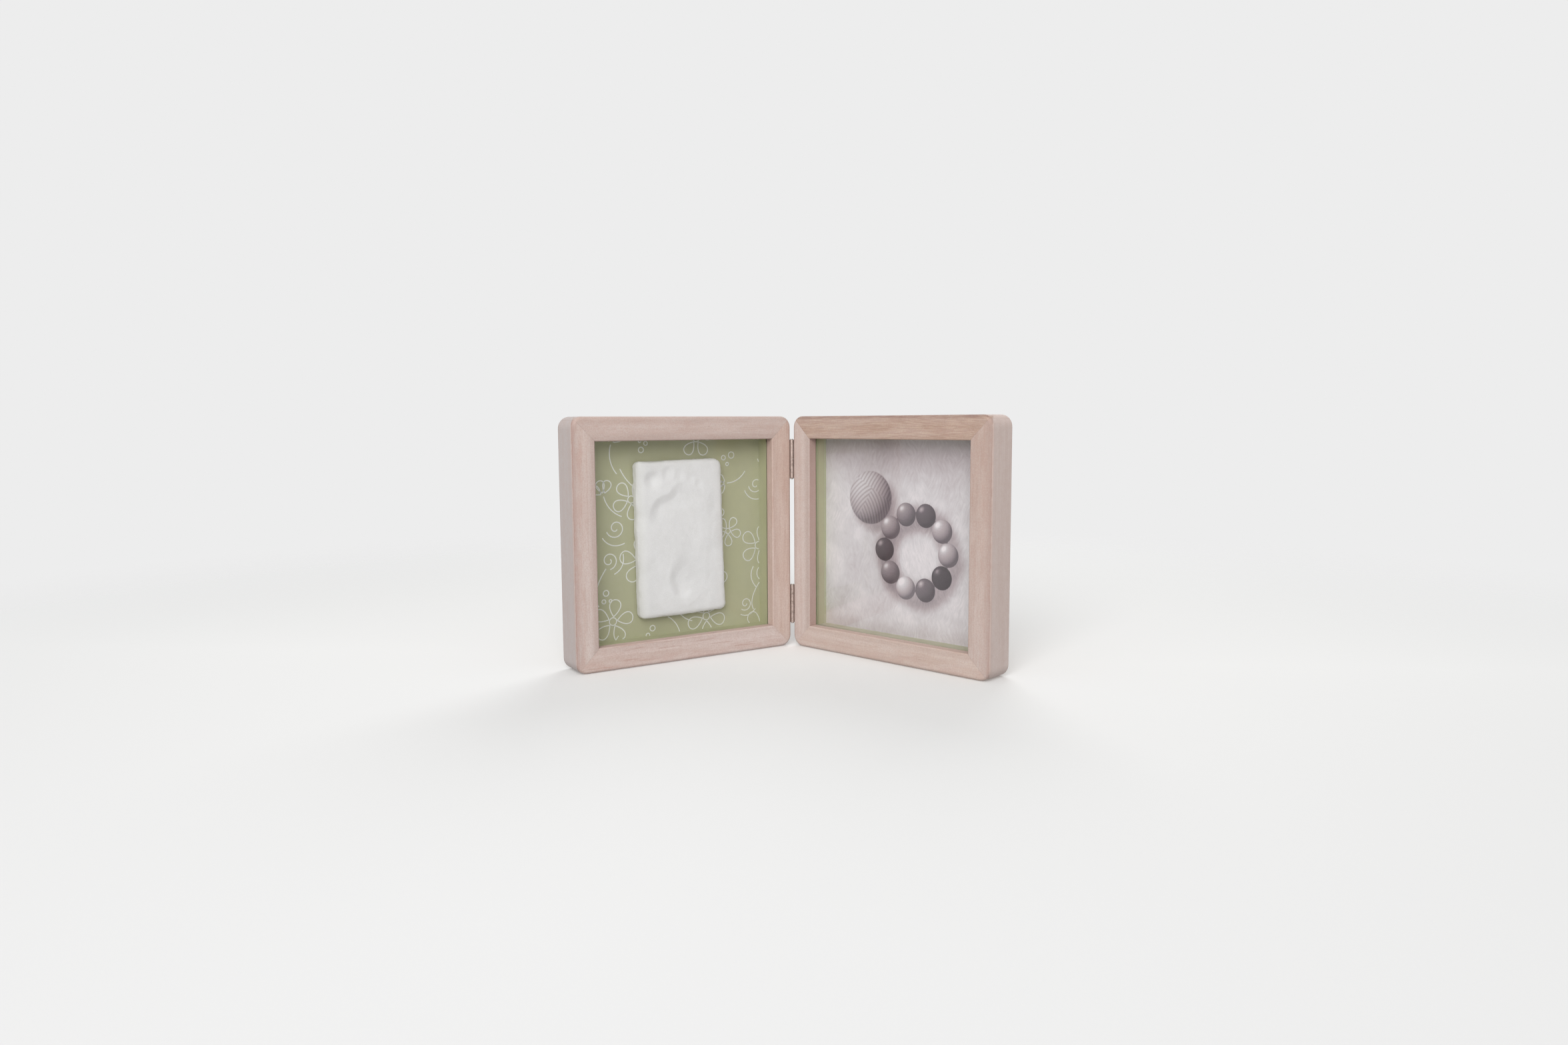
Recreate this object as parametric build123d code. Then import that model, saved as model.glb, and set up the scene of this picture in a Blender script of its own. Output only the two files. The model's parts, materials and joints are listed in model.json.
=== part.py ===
# A double shadow-box frame for a baby's clay footprint and a photograph.
# Two square wooden frames stand on their bottom rails, joined by two small butt hinges along the
# front edges of their inner stiles, so that they fold shut front to front like a book.
# Each frame is four mitred rails with a rebate. In the rebate lie a clear pane, four spacer strips,
# a backing board and a back panel, held in by four turn buttons. The left frame holds the clay
# print on adhesive pads, the right one holds the photograph.
#
# Every piece is first made in the frame's own place: X runs from the fold line outwards, Y from the
# front to the back, Z up, with the fold line at X = Y = 0 and the standing surface at Z = 0.
# The left frame is the mirror image. Both are then swung to the angle at which the frame stands.
# The origin is the middle of the box round the standing frame, on the standing surface.

import os
from math import cos, radians, sin

from build123d import *

# Driving sizes in millimetres, angles in degrees
frame_width = 170.0
frame_height = 170.0
opening_angle = 103.0
closed_gap = 0.3
side_gap = 1.5

rail_width = 16.3
rebate_wall = 11.0
lip_depth = 7.1
corner_radius = 8.0
front_arris = 2.2
back_arris = 1.2
sight_arris = 0.9

pane_thickness = 1.5
pane_clearance = 0.4
spacer_depth = 10.3
spacer_setback = 0.2
spacer_clearance = 0.2
board_thickness = 2.0
board_clearance = 0.4
print_thickness = 0.3
print_clearance = 1.0
panel_thickness = 3.0
panel_clearance = 0.5
panel_corner_radius = 1.5
panel_recess = 0.1

slab_width = 67.0
slab_end_margin = 14.15
slab_thickness = 8.5
slab_corner_radius = 5.0
slab_edge_radius = 2.2
slab_turn = 1.2
print_sink = 2.2
pad_size = 14.0
pad_thickness = 0.8
pad_inset = 9.0

nail_leg = 5.0
nail_thickness = 0.5
nail_depth = 7.0
nail_sink = 0.3

hinge_length = 28.5
hinge_end_distance = 17.0
hinge_leaf_reach = 12.0
hinge_leaf_thickness = 0.6
hinge_leaf_corner = 0.8
barrel_radius = 1.15
pin_radius = 0.6
pin_clearance = 0.06
pin_head_radius = 1.0
pin_head_height = 0.5
pin_head_play = 0.1
knuckle_gap = 0.2
knuckle_notch = 0.3
hinge_screw_line = 7.5
hinge_screw_inset = 6.0
hinge_screw_radius = 0.9
hinge_screw_length = 8.0
hinge_screw_head_radius = 1.8

button_width = 8.0
button_reach = 12.5
button_thickness = 0.9
button_edge = 0.25
button_line = 6.0
button_bore_clearance = 0.08
button_play = 0.1
button_screw_radius = 1.1
button_screw_length = 10.0
button_screw_head_radius = 2.5
button_screw_head_height = 1.4

recess_width_share = 0.22
recess_length_share = 1.15
recess_depth_share = 0.45

# How far a cutting solid runs past the face that it cuts
overrun = 1.0

# Number of knuckles on each hinge, and of screws in each of its leaves
knuckle_count = 4
hinge_screw_count = 2

# Sizes that follow
frame_depth = lip_depth + pane_thickness + spacer_depth + board_thickness + panel_thickness + panel_recess
half_angle = 90.0 - opening_angle / 2
side_face = side_gap / 2
front_face = closed_gap / 2
back_face = front_face + frame_depth
middle_x = side_face + frame_width / 2
middle_z = frame_height / 2
shoulder = front_face + lip_depth
pane_back = shoulder + pane_thickness
spacer_back = pane_back + spacer_depth
board_back = spacer_back + board_thickness
panel_back = board_back + panel_thickness
rebate_width = frame_width - 2 * rebate_wall
rebate_height = frame_height - 2 * rebate_wall
spacer_width = rail_width - spacer_setback - rebate_wall - spacer_clearance
card_height = rebate_height - 2 * (spacer_clearance + spacer_width)
slab_height = card_height - 2 * slab_end_margin
slab_back = spacer_back - pad_thickness
slab_front = slab_back - slab_thickness
hinge_heights = {
    "upper": frame_height - hinge_end_distance - hinge_length / 2,
    "lower": hinge_end_distance + hinge_length / 2,
}

# The footprint, as shares of the slab: across (towards the outer stile), up, and the half-sizes.
toe_shares = [
    (0.330, 0.365, 0.125, 0.075),
    (0.130, 0.412, 0.075, 0.055),
    (-0.015, 0.400, 0.068, 0.050),
    (-0.145, 0.358, 0.063, 0.046),
    (-0.245, 0.305, 0.058, 0.042),
]
sole_shares = [
    (0.045, 0.180, 0.310, 0.150),
    (-0.085, -0.030, 0.190, 0.255),
    (-0.055, -0.275, 0.205, 0.155),
]


def facing_plane(depth, x=0.0, z=0.0):
    """A sketch plane that faces the viewer, at this depth: sketch X is X, sketch Y is Z."""
    return Plane(origin=(x, depth, z), x_dir=(1, 0, 0), z_dir=(0, -1, 0))


def slab_between(sketch, near, far, x=0.0, z=0.0):
    """A sketch made solid from the depth near to the depth far."""
    return extrude(facing_plane(near, x, z) * sketch, amount=near - far)


def wooden_ring():
    """All four rails in one piece: outline, rebate and eased edges."""
    outline = RectangleRounded(frame_width, frame_height, corner_radius)
    sight = Rectangle(frame_width - 2 * rail_width, frame_height - 2 * rail_width)
    rebate = Rectangle(rebate_width, rebate_height)
    ring = slab_between(outline, front_face, back_face, middle_x, middle_z)
    ring -= slab_between(sight, front_face - overrun, back_face + overrun, middle_x, middle_z)
    ring -= slab_between(rebate, shoulder, back_face + overrun, middle_x, middle_z)
    front = ring.faces().sort_by(Axis.Y)[0]
    ring = fillet(front.outer_wire().edges(), front_arris)
    front = ring.faces().sort_by(Axis.Y)[0]
    ring = fillet(front.inner_wires()[0].edges(), sight_arris)
    back = ring.faces().sort_by(Axis.Y)[-1]
    return fillet(back.outer_wire().edges(), back_arris)


def mitre_wedge(half_run, half_rise, turn):
    """The space that one rail fills between its two mitres. half_run is half the rail's length."""
    cut = rail_width + overrun
    wedge = Polyline(
        (-half_run - overrun, half_rise + overrun),
        (half_run + overrun, half_rise + overrun),
        (half_run - cut, half_rise - cut),
        (-half_run + cut, half_rise - cut),
        close=True,
    )
    sketch = Rot(0, 0, turn) * make_face(wedge)
    return slab_between(sketch, front_face - overrun, back_face + overrun, middle_x, middle_z)


def corner_nails(slot=False):
    """One bent steel corner nail in each mitre, driven in from the back, or the slot that it leaves."""
    nails = []
    across = frame_width / 2 - rebate_wall / 2
    up = frame_height / 2 - rebate_wall / 2
    near = back_face - nail_sink - nail_depth
    far = back_face + overrun if slot else back_face - nail_sink
    for sx in (-1, 1):
        for sz in (-1, 1):
            run = Pos(-sx * nail_leg / 2, 0) * Rectangle(nail_leg, nail_thickness)
            rise = Pos(0, -sz * nail_leg / 2) * Rectangle(nail_thickness, nail_leg)
            bend = Rectangle(nail_thickness, nail_thickness)
            x = middle_x + sx * across
            z = middle_z + sz * up
            nails.append(slab_between(run + rise + bend, near, far, x, z))
    return nails


def plate_in_rebate(clearance, near, far, radius=0.0):
    """A sheet that fills the rebate, less a clearance all round."""
    width = rebate_width - 2 * clearance
    height = rebate_height - 2 * clearance
    sketch = RectangleRounded(width, height, radius) if radius else Rectangle(width, height)
    return slab_between(sketch, near, far, middle_x, middle_z)


def spacer_strips():
    """The four strips that hold the pane off the backing: top and bottom run through."""
    across = rebate_width / 2 - spacer_clearance - spacer_width / 2
    up = rebate_height / 2 - spacer_clearance - spacer_width / 2
    long_strip = Rectangle(rebate_width - 2 * spacer_clearance, spacer_width)
    short_strip = Rectangle(spacer_width, 2 * up - spacer_width)
    places = {
        "spacer_top": (long_strip, 0, up),
        "spacer_bottom": (long_strip, 0, -up),
        "spacer_outer": (short_strip, across, 0),
        "spacer_hinge": (short_strip, -across, 0),
    }
    return {
        name: slab_between(sketch, pane_back, spacer_back, middle_x + x, middle_z + z)
        for name, (sketch, x, z) in places.items()
    }


def on_slab(depth, shape):
    """A shape drawn about the slab's middle, placed at this depth and turned as the slab is."""
    return facing_plane(depth, middle_x, middle_z).location * Rot(0, 0, -slab_turn) * shape


def dent(across_share, up_share, half_width_share, half_height_share):
    """An egg-shaped hollow, drawn about the slab's middle and as deep as print_sink."""
    half_width = half_width_share * slab_width
    half_height = half_height_share * slab_height
    egg = scale(Sphere(1), by=(half_width, half_height, print_sink))
    return Pos(across_share * slab_width, up_share * slab_height, 0) * egg


def clay_slab():
    """The slab of white clay with the footprint pressed into its front."""
    outline = RectangleRounded(slab_width, slab_height, slab_corner_radius)
    slab = extrude(outline, amount=-slab_thickness)
    slab = fillet(slab.faces().sort_by(Axis.Z)[-1].edges(), slab_edge_radius)
    for shares in toe_shares + sole_shares:
        slab -= dent(*shares)
    return on_slab(slab_front, slab)


def clay_pads():
    """Four double-sided pads between the slab and the backing board."""
    across = slab_width / 2 - pad_inset - pad_size / 2
    up = slab_height / 2 - pad_inset - pad_size / 2
    pad = extrude(Rectangle(pad_size, pad_size), amount=-pad_thickness)
    return [
        on_slab(slab_back, Pos(sx * across, sz * up, 0) * pad) for sx in (-1, 1) for sz in (-1, 1)
    ]


def cross_recess(head_radius, head_height):
    """The crossed slots in a screw's head, as a cutting solid that points down -Z from Z = 0."""
    width = head_radius * recess_width_share
    length = head_radius * recess_length_share
    depth = head_height * recess_depth_share
    arm = Box(length, width, 2 * depth)
    return arm + Rot(0, 0, 90) * arm


def countersunk_screw(radius, head_radius, length):
    """A countersunk wood screw, its flat head's top at Z = 0 and its point down -Z."""
    head_height = head_radius - radius
    head = Pos(0, 0, -head_height / 2) * Cone(radius, head_radius, head_height)
    point = head_height + radius
    shank_length = length - point
    shank = Pos(0, 0, -head_height - shank_length / 2) * Cylinder(radius, shank_length)
    tip = Pos(0, 0, -length + radius / 2) * Cone(0, radius, radius)
    return head + shank + tip


def pan_head_screw(radius, head_radius, head_height, length):
    """A pan-head wood screw. The underside of its head is at Z = 0 and its point down -Z."""
    head = Pos(0, 0, head_height / 2) * Cylinder(head_radius, head_height)
    head = fillet(head.edges().sort_by(Axis.Z)[-1], head_height / 2)
    shank_length = length - radius
    shank = Pos(0, 0, -shank_length / 2) * Cylinder(radius, shank_length)
    tip = Pos(0, 0, -length + radius / 2) * Cone(0, radius, radius)
    return head + shank + tip


def knuckle_span(index):
    """The lowest and highest height of a knuckle above the hinge's middle, counted from the top."""
    pitch = (hinge_length + knuckle_gap) / knuckle_count
    top = hinge_length / 2 - index * pitch
    return top - pitch + knuckle_gap, top


def hinge_leaf(height, first_knuckle):
    """A leaf on the inner stile, with every second knuckle from first_knuckle on."""
    plate_start = barrel_radius + knuckle_notch
    plate_x = side_face - hinge_leaf_thickness / 2
    plate = Pos(plate_x, (plate_start + hinge_leaf_reach) / 2, height) * Box(
        hinge_leaf_thickness, hinge_leaf_reach - plate_start, hinge_length
    )
    back_corners = plate.edges().filter_by(Axis.X).group_by(Axis.Y)[-1]
    leaf = fillet(back_corners, hinge_leaf_corner)
    for index in range(first_knuckle, knuckle_count, 2):
        low, high = knuckle_span(index)
        place = height + (low + high) / 2
        web_reach = plate_start + hinge_leaf_thickness
        leaf += Pos(0, 0, place) * Cylinder(barrel_radius, high - low)
        leaf += Pos(plate_x, web_reach / 2, place) * Box(hinge_leaf_thickness, web_reach, high - low)
    leaf -= Pos(0, 0, height) * Cylinder(pin_radius + pin_clearance, hinge_length + 2 * overrun)
    for screw in hinge_screws(height):
        leaf -= screw
    return leaf


def hinge_screw_heights(height):
    """The heights of the screws in a leaf whose middle is at this height."""
    lowest = height - hinge_length / 2 + hinge_screw_inset
    step = (hinge_length - 2 * hinge_screw_inset) / (hinge_screw_count - 1)
    return [lowest + step * i for i in range(hinge_screw_count)]


def hinge_screws(height, recess=False):
    """The countersunk screws of one leaf, flush with its inner face."""
    screw = countersunk_screw(hinge_screw_radius, hinge_screw_head_radius, hinge_screw_length)
    if recess:
        screw -= cross_recess(hinge_screw_head_radius, hinge_screw_head_radius - hinge_screw_radius)
    turned = Rot(0, -90, 0) * screw
    leaf_face = side_face - hinge_leaf_thickness
    return [Pos(leaf_face, hinge_screw_line, z) * turned for z in hinge_screw_heights(height)]


def hinge_pin(height):
    """The hinge's pin with a small rounded head at each end."""
    head_start = hinge_length / 2 + pin_head_play
    pin = Cylinder(pin_radius, 2 * head_start)
    for end in (-1, 1):
        head = Pos(0, 0, pin_head_height / 2) * Cylinder(pin_head_radius, pin_head_height)
        head = fillet(head.edges().sort_by(Axis.Z)[-1], pin_head_height / 2)
        pin += Rot(0, 0 if end > 0 else 180, 0) * Pos(0, 0, head_start) * head
    return Pos(0, 0, height) * pin


def button_places():
    """Each turn button's pivot across and up from the frame's middle, and its turn in degrees."""
    across = frame_width / 2 - button_line
    up = frame_height / 2 - button_line
    return {
        "top": (0, up, 180),
        "bottom": (0, -up, 0),
        "outer": (across, 0, 90),
        "hinge": (-across, 0, -90),
    }


def turn_button(across, up, turn):
    """A turn button over the back panel's edge. It points up before it is turned."""
    outline = Pos(0, button_reach / 2) * Rot(0, 0, 90) * SlotOverall(
        button_reach + button_width, button_width
    )
    outline -= Circle(button_screw_radius + button_bore_clearance)
    near = back_face + button_play
    plate = slab_between(Rot(0, 0, turn) * outline, near, near + button_thickness)
    plate = fillet(plate.faces().sort_by(Axis.Y)[-1].outer_wire().edges(), button_edge)
    return Pos(middle_x + across, 0, middle_z + up) * plate


def button_screws(recess=False):
    """The pan-head screws on which the turn buttons pivot."""
    screw = pan_head_screw(
        button_screw_radius, button_screw_head_radius, button_screw_head_height, button_screw_length
    )
    if recess:
        slots = cross_recess(button_screw_head_radius, button_screw_head_height)
        screw -= Pos(0, 0, button_screw_head_height) * slots
    turned = Rot(-90, 0, 0) * screw
    seat = back_face + button_thickness + 2 * button_play
    return [
        Pos(middle_x + across, seat, middle_z + up) * turned
        for across, up, _ in button_places().values()
    ]


def rails():
    """The four mitred rails, drilled for their screws and slotted for the corner nails."""
    ring = wooden_ring()
    half_width = frame_width / 2
    half_height = frame_height / 2
    wedges = {
        "top_rail": mitre_wedge(half_width, half_height, 0),
        "bottom_rail": mitre_wedge(half_width, half_height, 180),
        "outer_stile": mitre_wedge(half_height, half_width, -90),
        "hinge_stile": mitre_wedge(half_height, half_width, 90),
    }
    drilled = corner_nails(slot=True) + button_screws()
    for height in hinge_heights.values():
        drilled += hinge_screws(height)
    pieces = {}
    for name, wedge in wedges.items():
        rail = ring & wedge
        for cutter in drilled:
            rail -= cutter
        pieces[name] = rail
    return pieces


def one_frame(first_knuckle):
    """Every piece that both frames have."""
    pieces = rails()
    pieces["corner_nails"] = corner_nails()
    pieces["pane"] = plate_in_rebate(pane_clearance, shoulder, pane_back)
    pieces.update(spacer_strips())
    pieces["back_panel"] = plate_in_rebate(
        panel_clearance, board_back, panel_back, panel_corner_radius
    )
    for name, place in button_places().items():
        pieces["turn_button_" + name] = turn_button(*place)
    pieces["turn_button_screws"] = button_screws(recess=True)
    screws = []
    for name, height in hinge_heights.items():
        pieces[name + "_hinge_leaf"] = hinge_leaf(height, first_knuckle)
        screws += hinge_screws(height, recess=True)
    pieces["hinge_screws"] = screws
    return pieces


def left_pieces():
    """The left frame's pieces, with the clay print, in the frame's own place."""
    pieces = {"left_" + name: shape for name, shape in one_frame(first_knuckle=1).items()}
    pieces["left_backing_board"] = plate_in_rebate(board_clearance, spacer_back, board_back)
    pieces["clay_footprint_slab"] = clay_slab()
    pieces["clay_adhesive_pads"] = clay_pads()
    for name, height in hinge_heights.items():
        pieces[name + "_hinge_pin"] = hinge_pin(height)
    return pieces


def right_pieces():
    """The right frame's pieces, with the photograph, in the frame's own place."""
    pieces = {"right_" + name: shape for name, shape in one_frame(first_knuckle=0).items()}
    print_back = spacer_back + print_thickness
    pieces["photo_print"] = plate_in_rebate(print_clearance, spacer_back, print_back)
    pieces["right_backing_board"] = plate_in_rebate(board_clearance, print_back, board_back)
    return pieces


def standing(shape, side):
    """A piece swung from the frame's own place to where it stands. side is -1 left, 1 right."""
    parts = shape if isinstance(shape, list) else [shape]
    solids = [solid for part in parts for solid in part.solids()]
    if side < 0:
        solids = [mirror(solid, about=Plane.YZ) for solid in solids]
    swung = [Rot(0, 0, -side * half_angle) * solid for solid in solids]
    return swung[0] if len(swung) == 1 else Compound(children=swung)


def main():
    """Writes one STEP file for each piece and prints where the fold line stands."""
    os.makedirs("parts", exist_ok=True)
    pieces = {name: standing(shape, -1) for name, shape in left_pieces().items()}
    pieces.update({name: standing(shape, 1) for name, shape in right_pieces().items()})
    boxes = [piece.bounding_box() for piece in pieces.values()]
    nearest = min(box.min.Y for box in boxes)
    furthest = max(box.max.Y for box in boxes)
    fold_line_y = -(nearest + furthest) / 2
    for name, piece in pieces.items():
        export_step(Pos(0, fold_line_y, 0) * piece, "parts/" + name + ".step")
    print("The fold line stands at Y =", round(fold_line_y, 4))


if __name__ == "__main__":
    main()
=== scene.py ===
import json
import math

import bmesh
import bpy
import numpy as np
from mathutils import Matrix, Vector, noise


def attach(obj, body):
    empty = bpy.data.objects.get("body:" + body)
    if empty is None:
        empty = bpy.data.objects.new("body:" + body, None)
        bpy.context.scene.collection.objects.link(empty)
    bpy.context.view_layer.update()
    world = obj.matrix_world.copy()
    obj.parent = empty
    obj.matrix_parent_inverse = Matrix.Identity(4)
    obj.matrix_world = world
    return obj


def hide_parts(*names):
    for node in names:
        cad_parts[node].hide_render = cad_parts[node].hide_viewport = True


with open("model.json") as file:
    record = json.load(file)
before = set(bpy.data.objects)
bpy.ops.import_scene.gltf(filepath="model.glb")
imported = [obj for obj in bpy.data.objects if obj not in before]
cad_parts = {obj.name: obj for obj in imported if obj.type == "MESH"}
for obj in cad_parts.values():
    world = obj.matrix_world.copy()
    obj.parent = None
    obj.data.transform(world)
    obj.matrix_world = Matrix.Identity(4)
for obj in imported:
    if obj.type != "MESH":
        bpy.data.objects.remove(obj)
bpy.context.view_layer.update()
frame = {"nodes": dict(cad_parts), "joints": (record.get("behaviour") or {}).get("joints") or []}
nodes = frame["nodes"]
print("frame loaded with", len(nodes), "pieces")

# Where things are. A frame's own place has the fold line at x = 0, the left frame at
# negative x, the front at y = 0 and the table at z = 0, as if the pair lay open flat.
joints = {joint["name"]: joint for joint in frame["joints"]}
foldLine = Vector(joints["fold"]["pos_m"][:2] + [0])
buttonAxis = joints["right_top_button_turn"]["axis"]
halfAngle = math.atan2(buttonAxis[0], buttonAxis[1])  # from there to where a frame stands
sides = {"left": -1, "right": 1}
millimetres = 1000  # in a metre
closeEnough = 1e-6  # metres within which two places count as one


def ownPlace(side):
    return Matrix.Translation(foldLine) @ Matrix.Rotation(-side * halfAngle, 4, "Z")


def ownBox(nodeName, side):
    toOwn = ownPlace(side).inverted()
    points = np.array([toOwn @ vertex.co for vertex in nodes[nodeName].data.vertices])
    return Vector(points.min(0)), Vector(points.max(0))


def boxAround(names, side):
    corners = np.array([ownBox(name, side) for name in names])
    return Vector(corners[:, 0].min(0)), Vector(corners[:, 1].max(0))


frameLow, frameHigh = boxAround(["right_outer_stile", "right_hinge_stile"], 1)
frameMiddle = (frameLow + frameHigh) / 2
halfFrame = (frameHigh.x - frameLow.x) / 2


def addObject(name, data):
    made = bpy.data.objects.new(name, data)
    bpy.context.scene.collection.objects.link(made)
    return made


def plainMesh(holder):
    # what the holder's modifier makes, as a mesh of its own, and the holder goes
    graph = bpy.context.evaluated_depsgraph_get()
    mesh = bpy.data.meshes.new_from_object(holder.evaluated_get(graph))
    bpy.data.objects.remove(holder)
    return mesh


def screen(red, green, blue):
    # an 8-bit screen colour as the linear colour that shaders want
    shares = [value / 255 for value in (red, green, blue)]
    linear = [s / 12.92 if s <= 0.04045 else ((s + 0.055) / 1.055) ** 2.4 for s in shares]
    return (*linear, 1.0)


class Field:
    # One socket of a node tree. A sum written with it adds the nodes that work it out.
    def __init__(self, net, socket):
        self.net = net
        self.socket = socket

    def __add__(self, other):
        return self.net.maths("ADD", self, other)

    def __radd__(self, other):
        return self.net.maths("ADD", other, self)

    def __sub__(self, other):
        return self.net.maths("SUBTRACT", self, other)

    def __rsub__(self, other):
        return self.net.maths("SUBTRACT", other, self)

    def __mul__(self, other):
        return self.net.maths("MULTIPLY", self, other)

    def __rmul__(self, other):
        return self.net.maths("MULTIPLY", other, self)

    def __truediv__(self, other):
        return self.net.maths("DIVIDE", self, other)

    def __rtruediv__(self, other):
        return self.net.maths("DIVIDE", other, self)

    def __pow__(self, other):
        return self.net.maths("POWER", self, other)

    def __abs__(self):
        return self.net.maths("ABSOLUTE", self)

    def __gt__(self, other):
        return self.net.maths("GREATER_THAN", self, other)


class Net:
    # Adds nodes to one tree, be it a material, the world or a Geometry Nodes tree.
    def __init__(self, tree):
        self.tree = tree

    def node(self, kind, settings=None, sockets=None, out=0):
        # a tuple is a value, and a list is several links into one socket
        made = self.tree.nodes.new(kind)
        for name, value in (settings or {}).items():
            if name == "stops":
                self.setStops(made.color_ramp, value)
            else:
                setattr(made, name, value)
        for key, value in (sockets or {}).items():
            for single in value if isinstance(value, list) else [value]:
                if isinstance(single, Field):
                    self.tree.links.new(single.socket, made.inputs[key])
                else:
                    made.inputs[key].default_value = single
        if isinstance(out, list):
            return [Field(self, made.outputs[name]) for name in out]
        return Field(self, made.outputs[out]) if len(made.outputs) else None

    def add(self, kind, settings=None, **sockets):
        # sockets as keywords, with _ for the spaces in their names
        named = {name.replace("_", " "): value for name, value in sockets.items()}
        return self.node(kind, settings, named)

    def setStops(self, ramp, stops):
        while len(ramp.elements) < len(stops):
            ramp.elements.new(1.0)
        for element, (position, colour) in zip(ramp.elements, stops):
            element.position = position
            element.color = colour

    def maths(self, operation, *values):
        return self.node("ShaderNodeMath", {"operation": operation}, dict(enumerate(values)))

    def vectors(self, operation, *values, out="Vector"):
        sockets = dict(enumerate(values))
        return self.node("ShaderNodeVectorMath", {"operation": operation}, sockets, out)

    def parts(self, vector):
        return self.node("ShaderNodeSeparateXYZ", {}, {0: vector}, [0, 1, 2])

    def joined(self, x, y, z=0.0):
        return self.node("ShaderNodeCombineXYZ", {}, {0: x, 1: y, 2: z})

    def least(self, first, second):
        return self.maths("MINIMUM", first, second)

    def most(self, first, second):
        return self.maths("MAXIMUM", first, second)

    def between(self, value, low, high):
        # 0 at low, 1 at high, and a smooth step from one to the other
        settings = {"interpolation_type": "SMOOTHSTEP"}
        return self.add("ShaderNodeMapRange", settings, Value=value, From_Min=low, From_Max=high)

    def cloud(self, place, scale, detail=2.0, roughness=0.5):
        return self.add(
            "ShaderNodeTexNoise", Vector=place, Scale=scale, Detail=detail, Roughness=roughness
        )

    def mixed(self, share, first, second, blend="MIX"):
        settings = {"data_type": "RGBA", "blend_type": blend}
        return self.node("ShaderNodeMix", settings, {0: share, 6: first, 7: second}, 2)

    def either(self, share, first, second):
        return self.node("ShaderNodeMixShader", {}, {0: share, 1: first, 2: second})

    def directRays(self):
        # 1 where the eye looks, also in a reflection and through a pane, and 0 for other light
        names = ["Is Camera Ray", "Is Glossy Ray", "Is Transmission Ray"]
        seen, mirrored, through = self.node("ShaderNodeLightPath", {}, {}, names)
        return self.most(self.most(seen, mirrored), through)


class Finish(Net):
    # A material that is drawn in a frame's own place, or in the object's when side is 0.
    def __init__(self, name, side=0):
        self.material = bpy.data.materials.new(name)
        self.material.use_nodes = True
        super().__init__(self.material.node_tree)
        self.tree.nodes.clear()
        self.place = self.node("ShaderNodeTexCoord", {}, {}, "Object")
        if side:
            turn = Matrix.Rotation(side * halfAngle, 4, "Z")
            self.place = self.add(
                "ShaderNodeMapping", {"vector_type": "POINT"}, Vector=self.place,
                Location=tuple(-(turn @ foldLine)), Rotation=(0.0, 0.0, side * halfAngle),
            )

    def stretched(self, x, y, z):
        return self.vectors("MULTIPLY", self.place, (x, y, z))

    def patches(self, low, high, *cloud):
        # noise that is 0 below low and 1 above high
        return self.between(self.cloud(self.place, *cloud), low, high)

    def bump(self, height, distance, strength=1.0):
        return self.add("ShaderNodeBump", Height=height, Distance=distance, Strength=strength)

    def show(self, shader):
        self.add("ShaderNodeOutputMaterial", Surface=shader)
        return self.material

    def surface(self, colour, roughness, normal, **uniform):
        return self.show(self.add(
            "ShaderNodeBsdfPrincipled", Base_Color=colour, Roughness=roughness, Normal=normal,
            **uniform,
        ))


def dress(nodeName, material):
    piece = nodes[nodeName]
    for materialSlot in piece.material_slots:
        materialSlot.material = material
    if not piece.material_slots:
        piece.data.materials.append(material)


# The camera stands where the photograph was taken from. Its angles are in degrees.
view = {
    "spot": Vector((0.06254, -0.7157, 0.16559)),
    "yaw": -5.158,
    "pitch": -5.529,
    "roll": -0.269,
    "lens": 23.748,
    "sensorWidth": 36.0,
    "clipStart": 0.01,
}


def pointing(azimuth, elevation):
    # azimuth 0 is straight to the back, and it turns to the right
    return Vector((
        math.sin(azimuth) * math.cos(elevation),
        math.cos(azimuth) * math.cos(elevation),
        math.sin(elevation),
    ))


def makeCamera():
    yaw, pitch, roll = (math.radians(view[name]) for name in ("yaw", "pitch", "roll"))
    ahead = pointing(yaw, pitch)
    level = Vector((math.cos(yaw), -math.sin(yaw), 0))
    upright = level.cross(ahead)
    right = math.cos(roll) * level + math.sin(roll) * upright
    up = math.cos(roll) * upright - math.sin(roll) * level
    turn = Matrix((right, up, -ahead)).transposed()
    camera = addObject("camera", bpy.data.cameras.new("camera"))
    camera.data.lens = view["lens"]
    camera.data.sensor_width = view["sensorWidth"]
    camera.data.clip_start = view["clipStart"]
    camera.matrix_world = Matrix.Translation(view["spot"]) @ turn.to_4x4()
    bpy.context.scene.camera = camera


# Soft studio light from the front and above, with a weaker lamp behind.
studio = {
    "background": screen(237, 237, 237),
    "ambientAbove": 0.52,
    "ambientBelow": 0.5,
    "ambientBlend": (-0.1, 0.7),
    "floor": screen(237, 237, 236),
    "floorInFront": screen(207, 207, 207),
    "frontReach": 0.62,
    "floorReach": (0.34, 0.95),
    "floorSize": 6.0,
    "floorDrop": 0.0002,
    "floorGrain": {"scale": 900.0, "share": 0.06, "light": screen(255, 255, 255)},
    "aim": Vector((0.0, 0.0, 0.08)),
    "lamps": {
        "keyLamp": {"azimuth": -4, "elevation": 29, "distance": 1.7, "size": 1.3, "power": 24.0},
        "rearLamp": {"azimuth": 172, "elevation": 40, "distance": 1.9, "size": 1.2, "power": 12.0},
    },
}


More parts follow.
